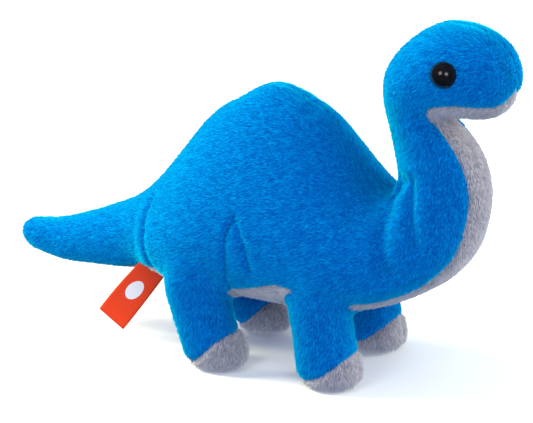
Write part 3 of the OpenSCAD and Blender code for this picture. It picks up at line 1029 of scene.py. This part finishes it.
class DINO_OT_eyes(bpy.types.Operator):
    """Makes the polished eyes with their shanks, and finishes the washers behind them"""

    bl_idname = "dino.eyes"
    bl_label = "Eyes"

    def execute(self, context):
        radius = context.scene.dinosaur_parts.eye / 2
        # Polished moulded plastic: deep black, a sharp highlight and faint wiping scratches
        material, tree, shader = new_material("polished_black_plastic", Specular_IOR_Level=0.5,
                                              IOR=1.49)
        place = add_node(tree, "ShaderNodeTexCoord").outputs["Object"]
        smears = add_node(tree, "ShaderNodeTexNoise", {"Scale": 420.0, "Detail": 5.0}, {"Vector": place})
        rough = add_node(tree, "ShaderNodeMapRange", {"To Min": 0.1, "To Max": 0.2},
                         {"Value": smears.outputs["Fac"]})
        tree.links.new(rough.outputs[0], shader.inputs["Roughness"])
        colour = ramp_colours(tree, smears.outputs["Fac"],
                              [(0.3, linear("#0b0b10")), (0.7, linear("#14141a"))])
        tree.links.new(colour, shader.inputs["Base Color"])
        for side, sign in SIDES.items():
            bm = bmesh.new()
            outline = [bm.verts.new((r * radius, 0, h * radius)) for r, h in EYE_OUTLINE]
            edges = [bm.edges.new(pair) for pair in zip(outline, outline[1:])]
            bmesh.ops.spin(bm, geom=outline + edges, cent=(0, 0, 0), axis=(0, 0, 1), angle=2 * pi,
                           steps=48, use_merge=True, dvec=(0, 0, 0))
            bmesh.ops.remove_doubles(bm, verts=bm.verts, dist=0.001 * MM)
            bmesh.ops.recalc_face_normals(bm, faces=bm.faces)
            angle = sign * EYE_ANGLE
            out = skin_normal(EYE_PLACE, angle)
            seat = Vector(skin(EYE_PLACE, angle)) - out * EYE_SEAT * MM
            turn = out.to_track_quat("Z", "Y").to_matrix().to_4x4()
            bmesh.ops.transform(bm, matrix=Matrix.Translation(seat) @ turn, verts=bm.verts)
            made = new_object("eye_" + side + "_dome", bm)
            smooth_faces(made)
            made.data.materials.append(material)
            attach(made, "head")
            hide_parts("eye_" + side)
        # Plain moulded polyethylene: waxy, with the faint grain of its mould
        washer, tree, shader = new_material("moulded_polyethylene", Roughness=0.5)
        place = add_node(tree, "ShaderNodeTexCoord").outputs["Object"]
        grain = add_node(tree, "ShaderNodeTexNoise", {"Scale": 1500.0, "Detail": 3.0}, {"Vector": place})
        colour = ramp_colours(tree, grain.outputs["Fac"],
                              [(0.35, linear("#dedcd4")), (0.65, linear("#efede6"))])
        tree.links.new(colour, shader.inputs["Base Color"])
        for side in SIDES:
            node = frame["nodes"]["eye_washer_" + side]
            node.data.materials.clear()
            node.data.materials.append(washer)
        return {"FINISHED"}


# The middle of the ribbon's sewn end, in mm, how steeply it hangs, and how far it is twisted there
TAG_TOP, TAG_SLANT, TAG_TWIST = (-32.1, -7.5, 25.3), radians(52.5), radians(40)
# The oval's middle on the ribbon's map, and how many of its radii go across and along the map
OVAL_MIDDLE, OVAL_COUNT = (0.5, 0.72), (4.2, 13.0)


class DINO_OT_tag(bpy.types.Operator):
    """Makes the folded woven ribbon tag"""

    bl_idname = "dino.tag"
    bl_label = "Tag"

    def execute(self, context):
        # The ribbon is 10 mm wide and 51 mm long, folded in half, with its two ends sewn in the seam
        width, length, gap, cloth = 10 * MM, 25.5 * MM, 0.25 * MM, 0.22 * MM
        top = metres(TAG_TOP)
        down = Vector((-cos(TAG_SLANT), 0, -sin(TAG_SLANT)))
        bm = bmesh.new()
        bmesh.ops.create_grid(bm, x_segments=12, y_segments=72, size=0.5)
        uv = bm.loops.layers.uv.new("ribbon")
        for face in bm.faces:
            for loop in face.loops:
                loop[uv].uv = (loop.vert.co.x + 0.5, loop.vert.co.y + 0.5)
        for v in bm.verts:
            u, s = v.co.x + 0.5, v.co.y * 2
            along = abs(s) * length
            fold = min(1, (length - along) / (gap * 2))
            layer = (1 if s > 0 else -1) * gap * (1 - (1 - fold) ** 2) ** 0.5
            part = along / length
            # It bows out by 0.9 mm, and the corners of its free end turn by 0.5 mm
            bow = 0.9 * sin(part * 2.4) - 0.5 * part * (u - 0.5) * 2
            twist = TAG_TWIST * (1 - part)
            across = Vector((sin(TAG_SLANT) * cos(twist), sin(twist), -cos(TAG_SLANT) * cos(twist)))
            v.co = (top + across * (u - 0.5) * width + down * along
                    + Vector((0, -1, 0)) * (layer + bow * MM))
        bmesh.ops.recalc_face_normals(bm, faces=bm.faces)
        made = new_object("tag_ribbon", bm)
        smooth_faces(made)
        modify(made, "SOLIDIFY", thickness=cloth, offset=0)
        made.data.materials.append(self.ribbon(context.scene.dinosaur_parts))
        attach(made, "tag")
        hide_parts("tag")
        return {"FINISHED"}

    def ribbon(self, parts):
        """Woven satin ribbon: fine even threads with a soft shine, and a plain pale oval woven in."""
        material, tree, shader = new_material("woven_satin_ribbon", Roughness=0.5,
                                              Specular_IOR_Level=0.25)
        place = add_node(tree, "ShaderNodeUVMap", {"uv_map": "ribbon"}).outputs["UV"]
        # Threads lie 0.3 mm apart, coarser than real ones so that they show
        warp = add_node(tree, "ShaderNodeTexWave", {"Scale": 9.5, "bands_direction": "X"},
                        {"Vector": place})
        weft = add_node(tree, "ShaderNodeTexWave", {"Scale": 46.0, "bands_direction": "Y"},
                        {"Vector": place})
        weave = add_node(tree, "ShaderNodeMath", {"operation": "MULTIPLY"},
                         {0: warp.outputs["Fac"], 1: weft.outputs["Fac"]})
        red = list(parts.tag_colour)
        cloth = ramp_colours(tree, weave.outputs[0], [(0.0, [c * 0.8 for c in red]), (0.5, red)])
        (u, v), (across, along) = OVAL_MIDDLE, OVAL_COUNT
        shift = add_node(tree, "ShaderNodeMapping", {"Location": (-u * across, -v * along, 0),
                                                     "Scale": (across, along, 1)}, {"Vector": place})
        oval = add_node(tree, "ShaderNodeVectorMath", {"operation": "LENGTH"}, {0: shift.outputs[0]})
        inside = add_node(tree, "ShaderNodeMath", {"operation": "LESS_THAN", 1: 1.0},
                          {0: oval.outputs["Value"]})
        mixed = add_node(tree, "ShaderNodeMix", {"data_type": "RGBA"},
                         {0: inside.outputs[0], 6: cloth})
        mixed.inputs[7].default_value = (*linear("#f3e6e2"), 1)
        tree.links.new(mixed.outputs[2], shader.inputs["Base Color"])
        bump = add_node(tree, "ShaderNodeBump", {"Strength": 0.5, "Distance": 0.00008},
                        {"Height": weave.outputs[0]})
        tree.links.new(bump.outputs["Normal"], shader.inputs["Normal"])
        return material


# Each lamp's place from the point that the camera looks at and its diameter, in metres, its power
# in watts and its colour
STUDIO_LAMPS = (
    ("left_key", (-0.9, -0.15, 0.55), 0.5, 97.0, "#fff8cc"),
    ("right_rim", (0.95, 0.4, 0.35), 0.5, 38.0, "#fffae2"),
    ("front_left", (-0.2, -1.0, 0.55), 0.5, 12.5, "#ffffff"),
    ("front_right", (0.75, -0.85, 0.5), 0.5, 15.0, "#ffffff"),
)
# The camera looks at this point, in mm, from this side and height, with its lens in mm
VIEW_AIM = (4.299, -2.737, 47.021)
VIEW_TURN, VIEW_RISE, VIEW_DISTANCE = radians(25), radians(19), 900 * MM
LENS, SENSOR = 197.6, 36.0
# The light from all round is a little blue, as in a white room by day
ROOM_COLOUR, ROOM_LIGHT = "#d6e8ff", 1.05
# The floor's middle to its edge, in metres
FLOOR_REACH = 4.0


class DINO_OT_stage(bpy.types.Operator):
    """Sets the floor, the lights and the camera"""

    bl_idname = "dino.stage"
    bl_label = "Stage"

    def execute(self, context):
        scene = context.scene
        bm = bmesh.new()
        bmesh.ops.create_grid(bm, x_segments=40, y_segments=40, size=FLOOR_REACH)
        floor = new_object("floor", bm)
        material, tree, shader = new_material("matt_paper", Roughness=0.9)
        place = add_node(tree, "ShaderNodeTexCoord").outputs["Object"]
        cloud = add_node(tree, "ShaderNodeTexNoise", {"Scale": 6.0, "Detail": 2.0}, {"Vector": place})
        base = list(scene.dinosaur_parts.floor_colour)
        colour = ramp_colours(tree, cloud.outputs["Fac"],
                              [(0.0, [c * 0.97 for c in base]), (1.0, base)])
        tree.links.new(colour, shader.inputs["Base Color"])
        floor.data.materials.append(material)
        floor.visible_diffuse = floor.visible_glossy = False
        aim = metres(VIEW_AIM)
        away = Vector((sin(VIEW_TURN) * cos(VIEW_RISE), -cos(VIEW_TURN) * cos(VIEW_RISE), sin(VIEW_RISE)))
        camera = bpy.data.cameras.new("camera")
        camera.lens, camera.sensor_width = LENS, SENSOR
        camera.clip_start, camera.clip_end = 0.05, 20
        stand = bpy.data.objects.new("camera", camera)
        scene.collection.objects.link(stand)
        stand.location = aim + away * VIEW_DISTANCE
        stand.rotation_euler = away.to_track_quat("Z", "Y").to_euler()
        scene.camera = stand
        for name, place, size, power, colour in STUDIO_LAMPS:
            self.light(name, aim + Vector(place), size, power).color = linear(colour)
        world = bpy.data.worlds.new("studio")
        world.use_nodes = True
        room = world.node_tree.nodes["Background"]
        room.inputs["Color"].default_value = (*linear(ROOM_COLOUR), 1)
        room.inputs["Strength"].default_value = ROOM_LIGHT
        world.cycles_visibility.glossy = False
        scene.world = world
        scene.view_settings.view_transform = "Standard"
        return {"FINISHED"}

    def light(self, name, place, size, power):
        """Adds a round lamp. Only the front lamps show as highlights on the eyes."""
        lamp = bpy.data.lights.new(name, "POINT")
        lamp.shadow_soft_size, lamp.energy = size / 2, power
        made = bpy.data.objects.new(name, lamp)
        bpy.context.scene.collection.objects.link(made)
        made.location = place
        made.visible_glossy = name.startswith("front")
        return lamp


class DINO_PT_panel(bpy.types.Panel):
    """Lists the dinosaur's settings and steps"""

    bl_label = "Stuffed dinosaur"
    bl_idname = "DINO_PT_panel"
    bl_space_type = "VIEW_3D"
    bl_region_type = "UI"
    bl_category = "Dinosaur"

    def draw(self, context):
        for group in GROUPS:
            settings = getattr(context.scene, group)
            for name in settings.__annotations__:
                self.layout.prop(settings, name)
        for operator in OPERATORS:
            self.layout.operator(operator.bl_idname)


GROUPS = {"dinosaur_form": DinosaurForm, "dinosaur_pile": DinosaurPile, "dinosaur_parts": DinosaurParts}
OPERATORS = (DINO_OT_form, DINO_OT_panels, DINO_OT_fillings, DINO_OT_pile, DINO_OT_eyes, DINO_OT_tag,
             DINO_OT_stage)


def register():
    """Adds the settings, the steps and the panel."""
    for made in (*GROUPS.values(), *OPERATORS, DINO_PT_panel):
        bpy.utils.register_class(made)
    for name, group in GROUPS.items():
        setattr(bpy.types.Scene, name, PointerProperty(type=group))


def unregister():
    """Takes them away again."""
    for name in GROUPS:
        delattr(bpy.types.Scene, name)
    for made in reversed((*GROUPS.values(), *OPERATORS, DINO_PT_panel)):
        bpy.utils.unregister_class(made)


def main():
    """Makes every piece in order."""
    register()
    bpy.ops.dino.form()
    bpy.ops.dino.panels()
    bpy.ops.dino.fillings()
    bpy.ops.dino.pile()
    bpy.ops.dino.eyes()
    bpy.ops.dino.tag()
    bpy.ops.dino.stage()


if __name__ == "__main__":
    main()
